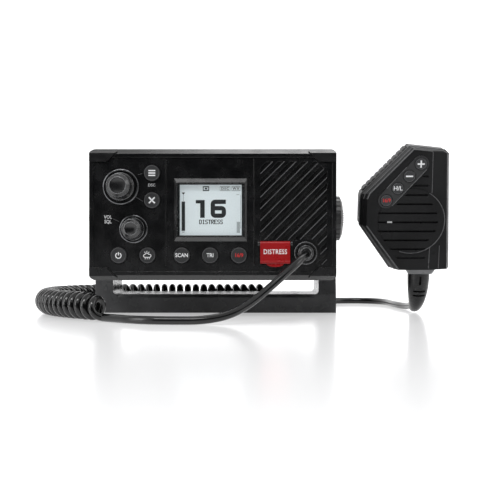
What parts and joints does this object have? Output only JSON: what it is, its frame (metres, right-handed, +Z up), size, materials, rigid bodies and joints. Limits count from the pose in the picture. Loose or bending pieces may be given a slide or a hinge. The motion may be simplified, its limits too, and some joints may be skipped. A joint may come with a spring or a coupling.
{
  "type": "vhf marine radio",
  "caption": "Fixed-mount marine VHF radio in a tilting bracket, with dials, keys, a display, a guarded distress key and a fist microphone on a curly cord.",
  "frame": {"origin": "middle of the bracket foot's underside, on the surface that it stands on", "axes": "+X to the right of the radio's face, +Y away from it to the back, +Z up"},
  "size_m": [0.2854, 0.2201, 0.1157],
  "materials": {
    "case_black": "fine matt grain",
    "cap_grey": "satin",
    "key_black": "soft matt",
    "red_plastic": "glossy moulded",
    "clear_lens": "clear window",
    "lcd": "satin liquid crystal panel",
    "circuit_board": "solder resist",
    "speaker_black": "coated paper",
    "steel": "satin",
    "nickel": "nickel plated",
    "brass": "machined",
    "die_cast": "black powder coat on cast aluminium",
    "rubber_black": "soft matt",
    "bracket_black": "moulded satin",
    "collar_grey": "satin",
    "cord_black": "smooth jacket"
  },
  "bodies": {
    "bracket": {"mounting_bracket": "bracket_black", "curly_cord": "cord_black", "cord_front_lead": "cord_black", "cord_rear_lead": "cord_black"},
    "radio": {"rear_chassis": "die_cast", "front_bezel": "case_black", "corner_caps": "cap_grey", "display_frame": "case_black", "display_lens": "clear_lens", "display_module": "lcd", "speaker_membrane": "speaker_black", "main_speaker": "speaker_black", "control_board": "circuit_board", "tact_switches": "steel", "case_gasket": "rubber_black", "main_board": "circuit_board", "radio_shield": "steel", "antenna_socket": "nickel", "power_gland": "rubber_black", "data_socket": "nickel", "case_screws": "steel", "thread_inserts": "brass", "tilt_washers": "rubber_black", "channel_encoder": "steel", "volume_encoder": "steel", "distress_pin": "steel", "cord_gland": "rubber_black"},
    "clamp_left": {"clamp_knob_left": "case_black", "clamp_screw_left": "steel"},
    "clamp_right": {"clamp_knob_right": "case_black", "clamp_screw_right": "steel"},
    "channel_push": {"channel_plunger": "case_black"},
    "channel_dial": {"channel_knob": "case_black", "channel_shaft": "steel"},
    "volume_push": {"volume_plunger": "case_black"},
    "volume_dial": {"volume_knob": "case_black", "volume_shaft": "steel"},
    "distress_cover": {"distress_cover": "red_plastic"},
    "distress_key": {"distress_key": "red_plastic"},
    "handset": {"mic_rear_shell": "case_black", "mic_front_shell": "case_black", "mic_key_panel": "cap_grey", "mic_board": "circuit_board", "mic_speaker": "speaker_black", "mic_screws": "steel", "hanger_stud": "steel", "mic_collar": "collar_grey", "mic_boot": "rubber_black"},
    "talk_lever": {"talk_lever": "rubber_black"},
    "menu_key": {"menu_key": "key_black"},
    "cancel_key": {"cancel_key": "key_black"},
    "power_key": {"power_key": "key_black"},
    "weather_key": {"weather_key": "key_black"},
    "scan_key": {"scan_key": "key_black"},
    "watch_key": {"watch_key": "key_black"},
    "priority_key": {"priority_key": "key_black"},
    "mic_priority_key": {"mic_priority_key": "key_black"},
    "mic_level_key": {"mic_level_key": "key_black"},
    "mic_minus_key": {"mic_minus_key": "key_black"},
    "mic_plus_key": {"mic_plus_key": "key_black"}
  },
  "joints": [
    {"name": "radio_tilt", "type": "hinge", "parent": "bracket", "child": "radio", "pos_m": [0, 0, 0.067], "axis": [1, 0, 0], "range_deg": [-15, 15], "deforming": ["cord_front_lead"]},
    {"name": "handset_lift", "type": "slide", "parent": "bracket", "child": "handset", "axis": [0, 0, 1], "range_m": [0, 0.04], "deforming": ["cord_rear_lead"]},
    {"name": "clamp_left_turn", "type": "hinge", "parent": "bracket", "child": "clamp_left", "pos_m": [-0.085, 0, 0.067], "axis": [1, 0, 0], "continuous": true},
    {"name": "clamp_right_turn", "type": "hinge", "parent": "bracket", "child": "clamp_right", "pos_m": [0.085, 0, 0.067], "axis": [1, 0, 0], "continuous": true},
    {"name": "channel_press", "type": "slide", "parent": "radio", "child": "channel_push", "axis": [0, 1, 0], "range_m": [0, 0.0005], "stiffness_N_per_m": 900, "springref_m": -0.0004},
    {"name": "channel_turn", "type": "hinge", "parent": "channel_push", "child": "channel_dial", "pos_m": [-0.0596, -0.074, 0.0849], "axis": [0, -1, 0], "continuous": true},
    {"name": "volume_press", "type": "slide", "parent": "radio", "child": "volume_push", "axis": [0, 1, 0], "range_m": [0, 0.0005], "stiffness_N_per_m": 900, "springref_m": -0.0004},
    {"name": "volume_turn", "type": "hinge", "parent": "volume_push", "child": "volume_dial", "pos_m": [-0.0513, -0.074, 0.0575], "axis": [0, -1, 0], "continuous": true},
    {"name": "menu_key_press", "type": "slide", "parent": "radio", "child": "menu_key", "axis": [0, 1, 0], "range_m": [0, 0.0008], "stiffness_N_per_m": 200, "springref_m": -0.0006},
    {"name": "cancel_key_press", "type": "slide", "parent": "radio", "child": "cancel_key", "axis": [0, 1, 0], "range_m": [0, 0.0008], "stiffness_N_per_m": 200, "springref_m": -0.0006},
    {"name": "power_key_press", "type": "slide", "parent": "radio", "child": "power_key", "axis": [0, 1, 0], "range_m": [0, 0.0008], "stiffness_N_per_m": 200, "springref_m": -0.0006},
    {"name": "weather_key_press", "type": "slide", "parent": "radio", "child": "weather_key", "axis": [0, 1, 0], "range_m": [0, 0.0008], "stiffness_N_per_m": 200, "springref_m": -0.0006},
    {"name": "scan_key_press", "type": "slide", "parent": "radio", "child": "scan_key", "axis": [0, 1, 0], "range_m": [0, 0.0008], "stiffness_N_per_m": 200, "springref_m": -0.0006},
    {"name": "watch_key_press", "type": "slide", "parent": "radio", "child": "watch_key", "axis": [0, 1, 0], "range_m": [0, 0.0008], "stiffness_N_per_m": 200, "springref_m": -0.0006},
    {"name": "priority_key_press", "type": "slide", "parent": "radio", "child": "priority_key", "axis": [0, 1, 0], "range_m": [0, 0.0008], "stiffness_N_per_m": 200, "springref_m": -0.0006},
    {"name": "distress_key_press", "type": "slide", "parent": "radio", "child": "distress_key", "axis": [0, 1, 0], "range_m": [0, 0.0008], "stiffness_N_per_m": 200, "springref_m": -0.0006},
    {"name": "distress_cover_hinge", "type": "hinge", "parent": "radio", "child": "distress_cover", "pos_m": [0.0404, -0.0742, 0.0481], "axis": [-1, 0, 0], "range_deg": [0, 100]},
    {"name": "talk_lever_press", "type": "hinge", "parent": "handset", "child": "talk_lever", "pos_m": [0.10147, -0.04669, 0.08382], "axis": [0, 0.9703, 0.2419], "range_deg": [0, 4], "stiffness_Nm_per_rad": 0.05, "springref_deg": -5.73},
    {"name": "mic_priority_key_press", "type": "slide", "parent": "handset", "child": "mic_priority_key", "axis": [0, 0.9703, 0.2419], "range_m": [0, 0.0006], "stiffness_N_per_m": 200, "springref_m": -0.0006},
    {"name": "mic_level_key_press", "type": "slide", "parent": "handset", "child": "mic_level_key", "axis": [0, 0.9703, 0.2419], "range_m": [0, 0.0006], "stiffness_N_per_m": 200, "springref_m": -0.0006},
    {"name": "mic_minus_key_press", "type": "slide", "parent": "handset", "child": "mic_minus_key", "axis": [0, 0.9703, 0.2419], "range_m": [0, 0.0006], "stiffness_N_per_m": 200, "springref_m": -0.0006},
    {"name": "mic_plus_key_press", "type": "slide", "parent": "handset", "child": "mic_plus_key", "axis": [0, 0.9703, 0.2419], "range_m": [0, 0.0006], "stiffness_N_per_m": 200, "springref_m": -0.0006}
  ]
}
